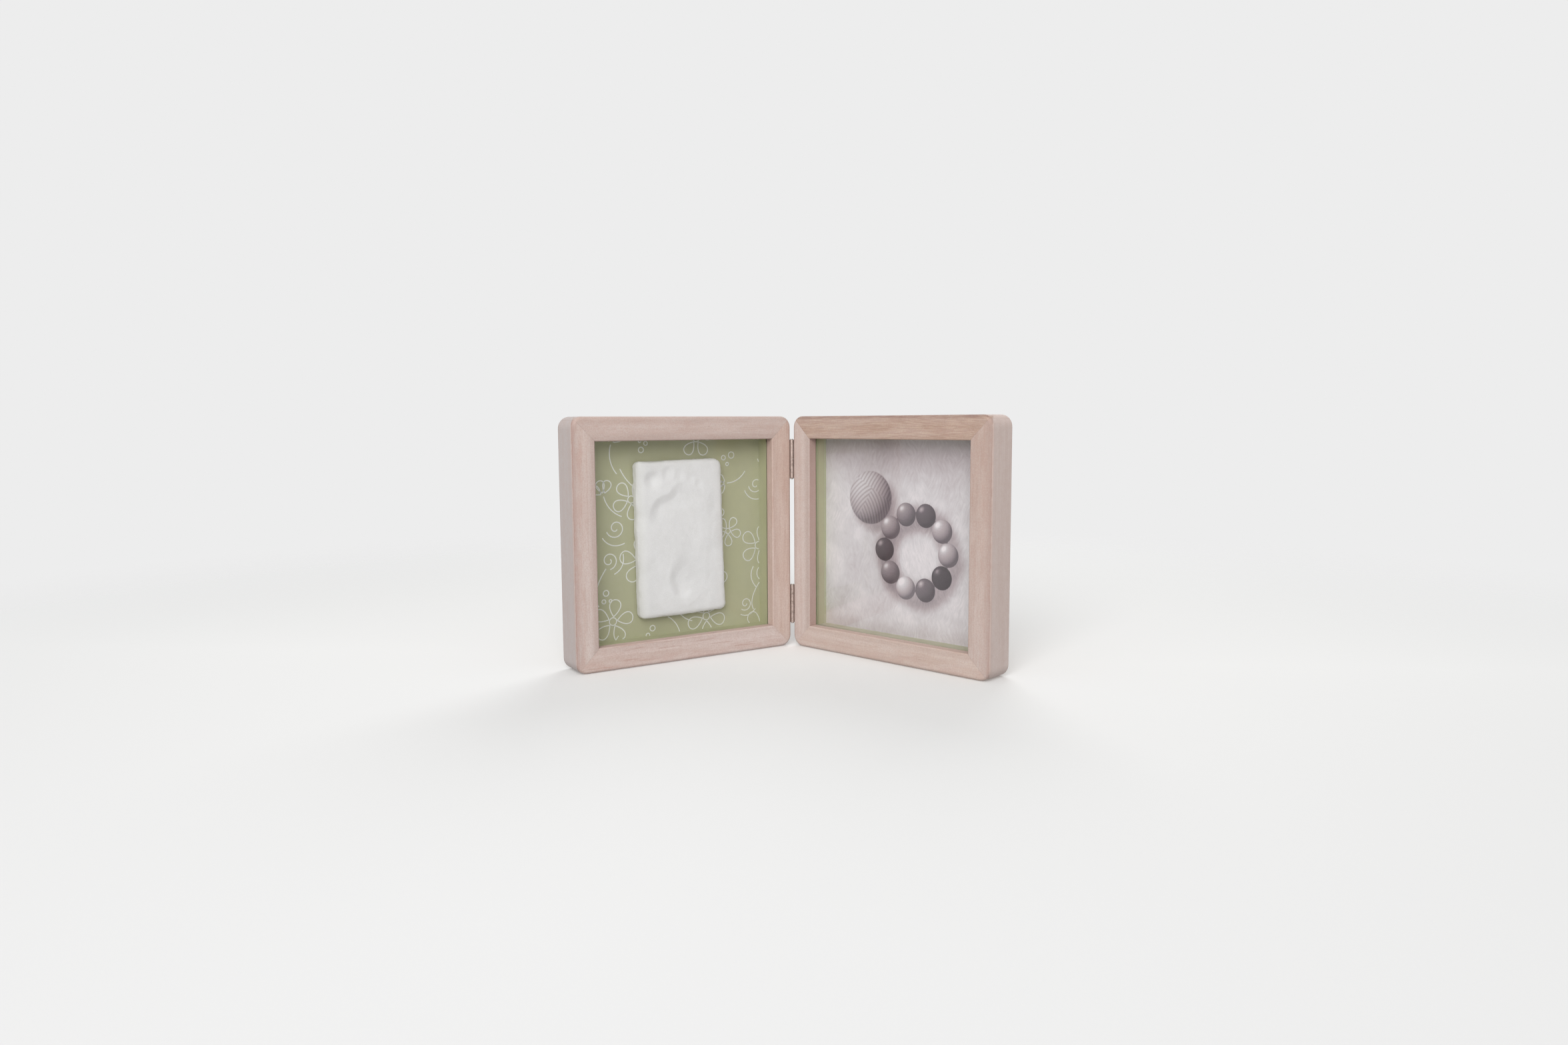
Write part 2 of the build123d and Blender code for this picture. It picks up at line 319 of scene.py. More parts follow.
def makeLamp(name, setting):
    # a lamp at azimuth 0 stands in front
    azimuth = math.radians(setting["azimuth"])
    elevation = math.radians(setting["elevation"])
    out = pointing(azimuth, elevation) * Vector((1, -1, 1))
    lamp = addObject(name, bpy.data.lights.new(name, "AREA"))
    lamp.data.shape = "DISK"
    lamp.data.size = setting["size"]
    lamp.data.energy = setting["power"]
    turn = out.to_track_quat("Z", "Y").to_matrix().to_4x4()
    lamp.matrix_world = Matrix.Translation(studio["aim"] + out * setting["distance"]) @ turn


def makeWorld():
    world = bpy.data.worlds.new("studio")
    world.use_nodes = True
    world.node_tree.nodes.clear()
    net = Net(world.node_tree)
    _, _, height = net.parts(net.node("ShaderNodeTexCoord", {}, {}, "Generated"))
    risen = studio["ambientAbove"] - studio["ambientBelow"]
    strength = studio["ambientBelow"] + risen * net.between(height, *studio["ambientBlend"])
    light = net.add("ShaderNodeBackground", Color=(1, 1, 1, 1), Strength=strength)
    backdrop = net.add("ShaderNodeBackground", Color=studio["background"], Strength=1.0)
    both = net.either(net.directRays(), light, backdrop)
    net.add("ShaderNodeOutputWorld", Surface=both)
    bpy.context.scene.world = world


def makeFloor():
    # The floor keeps the shadow near the object and thins out into the background. Light that
    # comes up from below passes it, so that nothing gets a black line where it stands.
    finish = Finish("paleFloor")
    x, y, _ = finish.parts(finish.place)
    fromMiddle = finish.maths("SQRT", x * x + y * y)
    gone = finish.between(fromMiddle, *studio["floorReach"])
    # the floor is darker towards the key lamp, so that it looks evenly pale
    inFront = y * (-1 / studio["frontReach"])
    colour = finish.mixed(inFront, studio["floor"], studio["floorInFront"])
    grain = studio["floorGrain"]
    grains = finish.cloud(finish.place, grain["scale"], 2.0)
    colour = finish.mixed((grains - 0.5) * grain["share"], colour, grain["light"])
    matt = finish.add("ShaderNodeBsdfDiffuse", Color=colour)
    clear = finish.add("ShaderNodeBsdfTransparent")
    share = finish.most(gone, 1 - finish.directRays())
    material = finish.show(finish.either(share, matt, clear))
    half = studio["floorSize"] / 2
    low = -studio["floorDrop"]
    corners = [(-half, -half, low), (half, -half, low), (half, half, low), (-half, half, low)]
    mesh = bpy.data.meshes.new("floor")
    mesh.from_pydata(corners, [], [(0, 1, 2, 3)])
    mesh.materials.append(material)
    floor = addObject("floor", mesh)


makeCamera()
makeWorld()
makeFloor()
for lampName, lampSetting in studio["lamps"].items():
    makeLamp(lampName, lampSetting)
bpy.context.scene.view_settings.view_transform = "Standard"
print("camera, lamps and floor made")


# Whitewashed wood. Each rail has its own piece of timber, with rings, fibres and pores
# that run along it, the wash lying in them, and a fine dark line at the mitres.
wood = {
    "ringWidth": 0.0042,
    "ringBend": 0.014,
    "lateWood": (0.2, 0.85, 1.0),  # where in a ring it starts, is full and ends
    "deep": screen(178, 151, 139),
    # painted shade, for the rim and beside the opening
    "edgeShade": screen(170, 150, 142),
    "wash": screen(221, 211, 205),
    "fleck": screen(213, 192, 172),
    "rust": screen(188, 154, 143),
    "streak": screen(175, 140, 127),
    # painted shade, towards a rail's upper or outer end
    "shade": screen(238, 228, 222),
    "lip": screen(166, 132, 122),
    # painted shade, multiplied onto the arris where it catches the light
    "arris": screen(200, 187, 188),
    "speck": screen(177, 147, 136),
    "pore": screen(150, 120, 108),
    "mitre": screen(128, 98, 86),
    # the outer faces' greyer wash, painted lighter as painted light for the slanting light on them
    "sideFace": {"left": screen(190, 183, 181), "right": screen(206, 191, 185)},
    "fibreDepth": 0.00007,
    # each pattern's scale along the rail and across it, its detail, and at which values of
    # the noise it starts and is full
    "patterns": {
        "bands": (5.0, 230.0, 2.0, 0.34, 0.66),
        "wash": (30.0, 130.0, 4.0, 0.38, 0.68),
        "fibres": (90.0, 2300.0, 3.0, 0.3, 0.7),
        "pores": (260.0, 2600.0, 1.0, 0.62, 0.74),
        "flecks": (105.0, 2300.0, 2.0, 0.44, 0.64),
        "strokes": (34.0, 620.0, 3.0, 0.54, 0.68),
        "blotches": (60.0, 240.0, 3.0, 0.4, 0.58),
        "runs": (14.0, 300.0, 4.0, 0.34, 0.66),
    },
    # how much each one covers of the colour under it
    "shares": {
        "bands": 0.28,
        "lateWood": 0.16,
        "wash": 0.26,
        "washLostToFlecks": 0.1,
        "fibres": 0.12,
        "mottle": 0.2,
        "strokes": 0.38,
        "rust": 0.42,
        "rim": 0.85,
        "sight": 0.75,
        "flecks": 0.32,
        "pores": 0.12,
        "darkNap": 1.7,
        "paleNap": 0.7,
        "sideRuns": 0.16,
        "sideMottle": 0.12,
        "sideNap": 1.2,
        "sideArris": 0.42,
        "side": 0.86,
        "arrisLine": 0.3,
        "mitre": 0.05,
        "outerMitre": 0.12,
    },
    # where each one starts and is full, in metres: in from the frame's outside, back from its
    # front for the depths and sideArris, away from the mitre, up from the table or out from the
    # fold for the painted shade towards a rail's end, and out from the frame's middle for outerHalf
    "zones": {
        "rust": (0.0074, 0.0052),
        "rim": (0.0075, 0.002),
        "sight": (0.0095, 0.0152),
        "arris": (0.0028, 0.001),
        "arrisDepth": (0.0032, 0.0014),
        "lip": (0.0148, 0.016),
        "lipDepth": (0.0, 0.0012),
        "side": (0.0014, 0.0),
        "sideDepth": (0.0014, 0.004),
        "crispSide": (0.0002, -0.0006),
        "sideArris": (0.0034, 0.0008),
        "arrisLine": (0.0006, 0.0001),
        "mitre": (0.00028, 0.00008),
        "fade": (0.02, 0.16),
        "outerHalf": (-0.04, 0.04),
    },
    # For each rail: how much painted shade darkens it towards its upper or outer end, its own tone,
    # which timber it is cut from, and where that timber's heart is, in from the rail's edge and back
    # from its front; then how strong its pale flecks, its rusty outer edge and its brown strokes
    # are, and how much painted shade darkens and browns it at the rim, beside the opening and on the
    # arris, where the rounded edges catch the light
    "railValues": (
        "fade", "tone", "seed", "heart", "flecks", "rust", "strokes", "rim", "sight", "arris",
    ),
    "rails": {
        "left_top_rail": (
            0.1, screen(191, 174, 167), 1.3, (0.03, 0.05), 0.2, 0.3, 0.25, 0.15, 0.75, 0.1,
        ),
        "left_bottom_rail": (
            0.4, screen(209, 193, 187), 2.9, (-0.012, 0.046), 0.15, 0.7, 1.3, 0.05, 0.25, 0.0,
        ),
        "left_outer_stile": (
            0.35, screen(202, 188, 182), 4.1, (0.022, 0.06), 0.1, 1.0, 0.6, 0.4, 0.8, 0.45,
        ),
        "left_hinge_stile": (
            0.5, screen(204, 183, 172), 5.7, (-0.035, 0.04), 0.2, 0.2, 0.8, 0.1, 0.2, 0.0,
        ),
        "right_top_rail": (
            0.4, screen(163, 135, 117), 6.2, (0.04, 0.03), 1.0, 0.15, 0.3, 0.2, 0.2, 0.75,
        ),
        "right_bottom_rail": (
            0.05, screen(198, 180, 170), 7.8, (-0.03, 0.055), 0.5, 0.4, 0.6, 0.05, 0.2, 0.0,
        ),
        "right_outer_stile": (
            0.8, screen(191, 175, 168), 9.4, (-0.02, 0.07), 0.15, 0.4, 0.7, 0.4, 0.2, 0.35,
        ),
        "right_hinge_stile": (
            0.15, screen(203, 190, 184), 3.5, (0.028, 0.045), 0.15, 0.15, 0.25, 0.25, 0.75, 0.05,
        ),
    },
}


class RailFinish(Finish):
    # One rail's wood, drawn along and across the rail and in from the frame's outside.
    def __init__(self, nodeName):
        self.sideName = nodeName.split("_")[0]
        self.side = sides[self.sideName]
        super().__init__(nodeName + "Wood", self.side)
        self.rail = dict(zip(wood["railValues"], wood["rails"][nodeName]))
        x, self.depth, z = self.parts(self.place)
        self.fromX = halfFrame - abs(x - self.side * frameMiddle.x)
        self.fromZ = halfFrame - abs(z - frameMiddle.z)
        self.nearest = self.least(self.fromX, self.fromZ)
        if "stile" in nodeName:
            self.along, self.across, self.fromEdge, self.towardsEnd = z, x, self.fromX, z
        else:
            self.along, self.across, self.fromEdge = x, z, self.fromZ
            self.towardsEnd = x * self.side
        self.outerHalf = self.zone("outerHalf", x * self.side - frameMiddle.x)
        self.wash = self.pattern("wash")
        self.fibres = self.pattern("fibres")
        self.pores = self.pattern("pores")
        self.mottle = self.patches(0.36, 0.64, 260.0, 5.0, 0.7)
        self.nap = self.cloud(self.place, 1100.0, 3.0, 0.7)
        self.lateWood = self.growthRings()
        self.mitre = self.zone("mitre", abs(self.fromX - self.fromZ))

    def streaks(self, alongScale, acrossScale, detail=2.0):
        along = self.along * alongScale + self.rail["seed"]
        place = self.joined(along, self.across * acrossScale, self.depth * acrossScale)
        return self.cloud(place, 1.0, detail)

    def pattern(self, name):
        alongScale, acrossScale, detail, low, high = wood["patterns"][name]
        return self.between(self.streaks(alongScale, acrossScale, detail), low, high)

    def zone(self, name, distance=None):
        # from the frame's outside, or by a distance of another kind
        measured = self.nearest if distance is None else distance
        return self.between(measured, *wood["zones"][name])

    def laid(self, colour, cover, shareName, toneName, strength=1.0):
        # a tone over the colour, as strong as its share says
        share = cover * (wood["shares"][shareName] * strength)
        return self.mixed(share, colour, wood[toneName])

    def growthRings(self):
        # rings round a heart that lies behind the rail
        heartAcross, heartDepth = self.rail["heart"]
        bend = (self.streaks(7.0, 70.0) - 0.5) * wood["ringBend"]
        towardsHeart = self.joined(self.fromEdge - heartAcross + bend, self.depth - heartDepth)
        fromHeart = self.vectors("LENGTH", towardsHeart, out="Value")
        ring = self.maths("FRACT", fromHeart / wood["ringWidth"])
        starts, full, ends = wood["lateWood"]
        return self.between(ring, starts, full) * self.between(ring, ends, full)

    def timber(self):
        # the timber, its wash and the brush's strokes
        rail = self.rail
        washShare = wood["shares"]["wash"] - wood["shares"]["washLostToFlecks"] * rail["flecks"]
        colour = self.laid(rail["tone"], self.pattern("bands"), "bands", "deep")
        colour = self.laid(colour, self.lateWood, "lateWood", "deep")
        colour = self.mixed(self.wash * washShare, colour, wood["wash"])
        colour = self.laid(colour, self.fibres, "fibres", "wash")
        colour = self.laid(colour, self.mottle, "mottle", "rust")
        colour = self.laid(colour, self.pattern("strokes"), "strokes", "streak", rail["strokes"])
        # painted shade: darker towards the rail's upper or outer end
        fade = self.zone("fade", self.towardsEnd) * rail["fade"]
        return self.mixed(fade, colour, wood["shade"], "MULTIPLY")

    def edges(self, colour):
        # rusty blotches along the outer edge, and painted shade at the rim, by the opening and on
        # the arris
        rail = self.rail
        ragged = self.nearest + (self.streaks(90.0, 300.0, 3.0) - 0.5) * 0.006
        rusty = self.zone("rust", ragged) * (0.15 + 0.85 * self.pattern("blotches"))
        colour = self.laid(colour, rusty, "rust", "rust", rail["rust"])
        # painted shade, darker and browner at the rim and beside the opening
        for name in ("rim", "sight"):
            colour = self.laid(colour, self.zone(name), name, "edgeShade", rail[name])
        # painted shade on the arris, which catches the light
        arris = self.zone("arris") * self.zone("arrisDepth", self.depth)
        return self.mixed(arris * rail["arris"], colour, wood["arris"], "MULTIPLY")

    def marks(self, colour):
        # pale flecks, pores and a nap over all of it, and a browner edge inside the lip
        rail = self.rail
        colour = self.laid(colour, self.pattern("flecks"), "flecks", "fleck", rail["flecks"])
        colour = self.laid(colour, self.pores, "pores", "pore")
        colour = self.laid(colour, self.nap - 0.47, "darkNap", "speck")
        colour = self.laid(colour, 0.5 - self.nap, "paleNap", "wash")
        lip = self.zone("lip") * self.zone("lipDepth", self.depth)
        return self.mixed(lip * (0.1 + 0.55 * rail["sight"]), colour, wood["lip"])

    def outerFaces(self, colour):
        # The outer faces have a greyer wash, which ends at the outer stile's arris in a fine
        # line and blends in everywhere else. Their tone is also painted lighter as painted light,
        # for the slanting light they get. The arris catches the light, so its paint is a little
        # darker there, a painted shade.
        shares = wood["shares"]
        roundArris = self.fromX - self.depth * 0.6 + (self.mottle - 0.5) * 0.0003
        crisp = self.zone("crispSide", roundArris) * self.between(self.outerHalf, 0.3, 0.6)
        soft = self.zone("side") * self.zone("sideDepth", self.depth)
        smears = self.pattern("runs") * shares["sideRuns"] + self.mottle * shares["sideMottle"]
        sideTone = self.mixed(smears, wood["sideFace"][self.sideName], wood["deep"])
        sideTone = self.laid(sideTone, self.nap - 0.5, "sideNap", "deep")
        # painted shade near the front arris
        sideTone = self.laid(sideTone, self.zone("sideArris", self.depth), "sideArris", "deep")
        colour = self.mixed(self.most(crisp, soft) * shares["side"], colour, sideTone)
        arrisLine = self.zone("arrisLine", abs(roundArris - 0.0002)) * self.outerHalf
        return self.laid(colour, arrisLine, "arrisLine", "pore", self.rail["rust"])

    def mitred(self, colour):
        mitreShare = wood["shares"]["mitre"] + wood["shares"]["outerMitre"] * self.outerHalf
        return self.mixed(self.mitre * mitreShare, colour, wood["mitre"])


def whitewashedWood(nodeName):
    finish = RailFinish(nodeName)
    colour = finish.edges(finish.timber())
    colour = finish.mitred(finish.outerFaces(finish.marks(colour)))
    relief = finish.fibres * 0.5 + finish.nap * 0.8 + finish.lateWood * 0.25
    relief = finish.bump(relief - finish.pores * 0.6 - finish.mitre * 1.2, wood["fibreDepth"], 0.8)
    roughness = 0.7 + 0.12 * finish.wash - 0.06 * finish.lateWood
    return finish.surface(colour, roughness, relief, Specular_IOR_Level=0.3)


for railName in wood["rails"]:
    dress(railName, whitewashedWood(railName))
print("wood finished")


# The green card of the linings and of the left frame's back, with its paper fibres. Right of
# the slab the back is painted paler as painted light, and its place in x says where that starts and
# where it is full.
card = {
    # painted light: the linings are painted lighter than the back card
    "linings": {"left": screen(190, 191, 156), "right": screen(187, 192, 154)},
    # painted light: the right frame's bottom lining is a lighter, greyer copy, where light from
    # above falls on it
    "rightLowerLining": screen(196, 194, 174),
    "back": screen(178, 178, 144),
    # painted light: the paler tone right of the slab
    "paintedLight": screen(189, 189, 156),
    "paintedLightPlace": (-0.06, -0.046),
    "thin": screen(184, 184, 155),
    "worn": screen(188, 188, 168),
    "fibreDepth": 0.00004,
}


def greenCard(name, side, tone, paintedLight=False):
    finish = Finish(name, side)
    mottle = finish.patches(0.32, 0.7, 160.0, 4.0)
    fibres = finish.cloud(finish.stretched(1.0, 1.0, 0.45), 2600.0, 3.0, 0.6)
    flecks = finish.patches(0.68, 0.8, 3900.0, 1.0)
    if paintedLight:
        # painted light: paler to the right of the slab
        x, _, _ = finish.parts(finish.place)
        tone = finish.mixed(finish.between(x, *card["paintedLightPlace"]), tone, card["paintedLight"])
    colour = finish.mixed(mottle * 0.45, tone, card["thin"])
    colour = finish.mixed((fibres - 0.5) * 0.5 + 0.12, colour, card["thin"])
    colour = finish.mixed(flecks * 0.35, colour, card["worn"])
    relief = finish.bump(fibres + mottle * 0.6, card["fibreDepth"], 0.7)
    return finish.surface(colour, 0.84 + 0.1 * mottle, relief, Specular_IOR_Level=0.25)


for sideName, sideSign in sides.items():
    lining = greenCard(sideName + "LiningCard", sideSign, card["linings"][sideName])
    lowerLining = lining
    # painted light: a lighter, greyer copy of the card for the right frame's bottom lining
    if sideName == "right":
        lowerLining = greenCard("rightLowerLining", sideSign, card["rightLowerLining"])
    for spacer in ("top", "outer", "hinge"):
        dress(f"{sideName}_spacer_{spacer}", lining)
    dress(sideName + "_spacer_bottom", lowerLining)
dress("left_backing_board", greenCard("patternedCard", -1, card["back"], paintedLight=True))
print("green card finished")


# Boards and panels behind the pictures.
board = {
    "grey": {
        "body": screen(168, 164, 154), "dark": screen(150, 145, 134), "light": screen(190, 187, 178),
        "chips": 1900.0, "depth": 0.00006,
    },
    "fibre": {
        "body": screen(152, 121, 91), "dark": screen(118, 89, 64), "light": screen(186, 156, 124),
        "chips": 1300.0, "depth": 0.00009,
    },
}


def pressedBoard(name, side, kind):
    finish = Finish(name, side)
    clouds = finish.patches(0.3, 0.72, 70.0, 5.0)
    chips = finish.cloud(finish.stretched(1.0, 1.0, 0.6), kind["chips"], 4.0, 0.65)
    strands = finish.cloud(finish.stretched(0.35, 1.0, 1.6), kind["chips"] * 0.8, 2.0)
    darkChips = finish.between(chips, 0.52, 0.68)
    paleStrands = finish.between(strands, 0.58, 0.7)
    colour = finish.mixed(clouds * 0.4, kind["body"], kind["dark"])
    colour = finish.mixed(darkChips * 0.75, colour, kind["dark"])
    colour = finish.mixed(paleStrands * 0.7, colour, kind["light"])
    relief = finish.bump(chips + paleStrands * 0.5, kind["depth"], 0.8)
    return finish.surface(colour, 0.78 + 0.12 * clouds, relief, Specular_IOR_Level=0.3)


dress("right_backing_board", pressedBoard("greyBoard", 1, board["grey"]))
for sideName, sideSign in sides.items():
    dress(sideName + "_back_panel", pressedBoard(sideName + "Panel", sideSign, board["fibre"]))
print("boards finished")


# Dull nickel for the hinges' leaves and the turn buttons, and brighter plating for the screws,
# the pins and the corner nails. The scratches are finer the larger their scale is that way.
metal = {
    "hingeNickel": {
        "bright": screen(194, 178, 170), "dull": screen(156, 141, 133),
        "roughness": 0.66, "scratches": (2600.0, 2600.0, 260.0),
    },
    "buttonNickel": {
        "bright": screen(200, 197, 191), "dull": screen(160, 156, 149),
        "roughness": 0.4, "scratches": (900.0, 900.0, 2400.0),
    },
    "screwPlating": {
        "bright": screen(190, 188, 183), "dull": screen(132, 128, 120),
        "roughness": 0.3, "scratches": (1500.0, 1500.0, 1500.0),
    },
}
metalWear = {
    "scratched": screen(235, 230, 224),
    "pitDepth": 0.00003,
}


def wornMetal(name):
    kind = metal[name]
    finish = Finish(name)
    brushed = finish.cloud(finish.stretched(*kind["scratches"]), 1.0, 2.0)
    tarnish = finish.patches(0.42, 0.7, 420.0, 4.0, 0.6)
    pits = finish.patches(0.64, 0.74, 3300.0, 2.0)
    colour = finish.mixed(tarnish * 0.65, kind["bright"], kind["dull"])
    colour = finish.mixed(pits * 0.5, colour, kind["dull"])
    colour = finish.mixed((brushed - 0.5) * 0.6, colour, metalWear["scratched"])
    roughness = kind["roughness"] + 0.18 * tarnish + 0.1 * (brushed - 0.5)
    relief = finish.bump(brushed * 0.6 - pits, metalWear["pitDepth"], 0.6)
    return finish.surface(colour, roughness, relief, Metallic=1.0)


hingeNickel = wornMetal("hingeNickel")
buttonNickel = wornMetal("buttonNickel")
plating = wornMetal("screwPlating")
for sideName in sides:
    for level in ("upper", "lower"):
        dress(f"{sideName}_{level}_hinge_leaf", hingeNickel)
    for spot in ("top", "bottom", "outer", "hinge"):
        dress(f"{sideName}_turn_button_{spot}", buttonNickel)
    for group in ("hinge_screws", "turn_button_screws", "corner_nails"):
        dress(f"{sideName}_{group}", plating)
for pinName in ("upper_hinge_pin", "lower_hinge_pin"):
    dress(pinName, plating)
print("metal finished")


# The clear panes have a faint haze of handling, which gloss shows and sight does not.
pane = {
    "index": 1.49,
    "roughness": 0.05,
    "gloss": 0.4,
    "hazeGloss": 0.15,
    "mostGloss": 0.5,
}


def clearPane(name, side):
    finish = Finish(name, side)
    haze = finish.patches(0.45, 0.75, 45.0, 5.0, 0.6)
    white = (1, 1, 1, 1)
    edge = finish.add("ShaderNodeFresnel", IOR=pane["index"])
    gloss = finish.add("ShaderNodeBsdfGlossy", Color=white, Roughness=pane["roughness"])
    clear = finish.add("ShaderNodeBsdfTransparent", Color=white)
    share = finish.least(edge * (pane["gloss"] + pane["hazeGloss"] * haze), pane["mostGloss"])
    return finish.show(finish.either(share, clear, gloss))


# The double-sided pads are white foam with small open cells.
foam = {
    "white": screen(224, 223, 216),
    "shade": screen(206, 204, 194),
    "cells": 2400.0,
    "cellDepth": 0.00012,
}


def foamPad():
    finish = Finish("foamPads", -1)
    cells = finish.add("ShaderNodeTexVoronoi", Vector=finish.place, Scale=foam["cells"])
    tint = finish.patches(0.3, 0.7, 300.0, 2.0)
    colour = finish.mixed(tint * 0.5, foam["white"], foam["shade"])
    return finish.surface(colour, 0.9 - 0.1 * tint, finish.bump(cells, foam["cellDepth"], 0.7))


for sideName, sideSign in sides.items():
    dress(sideName + "_pane", clearPane(sideName + "ClearPane", sideSign))
dress("clay_adhesive_pads", foamPad())
print("panes and pads finished")


# The sample picture is a plain still life of the shop's own kind: a ring of turned beads
# and a ball of wool on a fleecy blanket, in warm greys. Its places are in millimetres from
# its middle, and its tones go from 0 to 1.
picture = {
    "tones": [
        (0.0, screen(52, 43, 48)),
        (0.3, screen(112, 101, 107)),
        (0.62, screen(181, 168, 171)),
        (0.86, screen(218, 213, 215)),
        (1.0, screen(240, 233, 235)),
    ],
    "light": (-0.46, 0.52, 0.72),
    "shadow": 0.34,
    "grain": 0.05,
    "sheenDepth": 0.00002,
    "blanket": {
        "tone": 0.84,
        "folds": 0.06,
        "fleece": 0.26,
        # the direction that each coat of fleece is combed in, in radians, and its strands'
        # width and length
        "coats": [(1.2, 1.4, 7.0), (2.0, 1.6, 6.0)],
        "curl": 12,
        "calmHeight": (62.0, 34.0),
        # painted shadow under the frame's top rail, and darker towards the bottom edge
        "topShade": {"share": 0.17, "height": (25.0, 60.0)},
        "bottomShade": {"share": 0.11, "height": (-56.0, -68.0)},
    },
    "beads": {
        "centre": (13.0, -9.0),
        "ring": 27.0,
        "radius": 8.3,
        "count": 10,
        "tone": 0.44,
        "cordTone": 0.3,
        "cordWidth": (1.1, 0.6),
        "shadow": (2.5, -3.5),
    },
    "wool": {
        "centre": (-27.0, 27.0),
        "radius": 19.0,
        "tone": 0.52,
        "yarn": 1.15,  # radians to the millimetre, and a thread takes up half a turn
        # the direction of each wrap of yarn, in radians, and how much it bows
        "wraps": [(0.5, 0.018), (2.2, -0.02), (1.2, 0.012)],
        "shadow": (4.5, -5.5),
    },
}


def turned(first, second, angle):
    # how far a place is along a direction, and beside it
    runs = first * math.cos(angle) + second * math.sin(angle)
    lies = second * math.cos(angle) - first * math.sin(angle)
    return runs, lies


class PictureFinish(Finish):
    # The sample picture, in millimetres from its middle.
    def __init__(self):
        super().__init__("samplePicture", 1)
        x, _, z = self.parts(self.place)
        self.across = (x - frameMiddle.x) * millimetres
        self.up = (z - frameMiddle.z) * millimetres

    def root(self, value):
        return self.maths("SQRT", self.most(value, 0.0))

    def distance(self, first, second):
        return self.root(first * first + second * second)

    def clouds(self, scale, seed=0.0, detail=2.0, roughness=0.5):
        return self.cloud(self.joined(self.across, self.up, seed), scale, detail, roughness)

    def fromCentre(self, thing):
        centreAcross, centreUp = thing["centre"]
        return self.across - centreAcross, self.up - centreUp

    def fromShadow(self, thing):
        # how far it is to the middle of the shadow that a thing casts
        across, up = self.fromCentre(thing)
        shadowAcross, shadowUp = thing["shadow"]
        return self.distance(across - shadowAcross, up - shadowUp)

    def lightOnBall(self, across, up, radius):
        lightAcross, lightUp, lightOut = picture["light"]
        share = self.distance(across, up) / radius
        rise = self.root(1 - share * share)
        return self.most((across * lightAcross + up * lightUp) / radius + rise * lightOut, 0.0)

    def strands(self, angle, width, length):
        # fleece combed one way, in soft curls
        curl = picture["blanket"]["curl"]
        across = self.across + (self.clouds(0.04, angle) - 0.5) * curl
        up = self.up + (self.clouds(0.04, angle + 9) - 0.5) * curl
        runs, lies = turned(across, up, angle)
        return self.cloud(self.joined(runs / length, lies / width, angle), 1.0, 4.0)

    def blanket(self):
        blanket = picture["blanket"]
        folds = self.between(self.clouds(0.034, 4.0), 0.35, 0.65)
        patches = self.between(self.clouds(0.09, 2.0), 0.42, 0.58)
        hollows = self.clouds(0.07, 7.0, 4.0, 0.6)
        firstCoat, secondCoat = (self.strands(*coat) for coat in blanket["coats"])
        fleece = firstCoat + (secondCoat - firstCoat) * patches
        calm = self.between(self.up, *blanket["calmHeight"])
        tone = blanket["tone"] + blanket["folds"] * folds * calm
        tone = tone + (fleece - 0.5) * blanket["fleece"] + (hollows - 0.5) * (0.05 + 0.17 * calm)
        # painted shadow of the top rail over the print, and darker towards its bottom edge
        for shade in (blanket["topShade"], blanket["bottomShade"]):
            tone = tone - shade["share"] * self.between(self.up, *shade["height"])
        return tone

    def shaded(self, tone):
        # the shadows of the beads and of the wool
        beads, wool = picture["beads"], picture["wool"]
        fromRing = abs(self.fromShadow(beads) - beads["ring"])
        ringShade = self.between(fromRing, beads["radius"] * 1.75, beads["radius"] * 0.45)
        fromWool = self.fromShadow(wool)
        woolShade = self.between(fromWool, wool["radius"] * 1.3, wool["radius"] * 0.7)
        return tone - picture["shadow"] * self.most(ringShade, woolShade)

    def beaded(self, tone):
        # the cord, and one bead's shading repeated round the ring
        beads = picture["beads"]
        across, up = self.fromCentre(beads)
        step = math.tau / beads["count"]
        angle = self.maths("ROUND", self.maths("ARCTAN2", up, across) / step) * step
        beadAcross = across - self.maths("COSINE", angle) * beads["ring"]
        beadUp = up - self.maths("SINE", angle) * beads["ring"]
        lit = self.lightOnBall(beadAcross, beadUp, beads["radius"])
        kinds = self.maths("SINE", angle * 3 + 0.9) * 0.3 + self.maths("SINE", angle * 2) * 0.12
        rings = self.cloud(self.joined(beadAcross * 0.5, beadUp * 2.4, angle), 1.0, 2.0)
        body = beads["tone"] + kinds + (rings - 0.5) * 0.14
        beadTone = body * (0.34 + 0.78 * lit) + lit ** 26 * 0.4
        fromCord = abs(self.distance(across, up) - beads["ring"])
        tone = tone + (beads["cordTone"] - tone) * self.between(fromCord, *beads["cordWidth"])
        share = self.distance(beadAcross, beadUp) / beads["radius"]
        return tone + (beadTone - tone) * self.between(share, 1.02, 0.96)

    def woolly(self, tone):
        # the ball of wool: three wraps of yarn laid across each other
        wool = picture["wool"]
        across, up = self.fromCentre(wool)
        wraps = []
        for angle, bow in wool["wraps"]:
            runs, lies = turned(across, up, angle)
            bent = lies * wool["yarn"] + runs * runs * bow
            wraps.append(abs(self.maths("SINE", bent)))
        yarn, second, third = wraps
        overFirst = self.between(across * 0.8 - up * 0.5 + 2.0, -0.6, 0.6)
        overBoth = self.between(across * 0.5 + up * 0.9 - 7.0, -0.6, 0.6)
        yarn = yarn + (second - yarn) * overFirst
        yarn = yarn + (third - yarn) * overBoth
        fluff = (self.clouds(2.2, detail=3.0) - 0.5) * 0.1
        lit = self.lightOnBall(across, up, wool["radius"])
        woolTone = (wool["tone"] + 0.22 * yarn + fluff) * (0.48 + 0.7 * lit)
        fuzz = (self.clouds(1.4) - 0.5) * 0.07
        share = self.distance(across, up) / wool["radius"] + fuzz
        return tone + (woolTone - tone) * self.between(share, 1.02, 0.97)


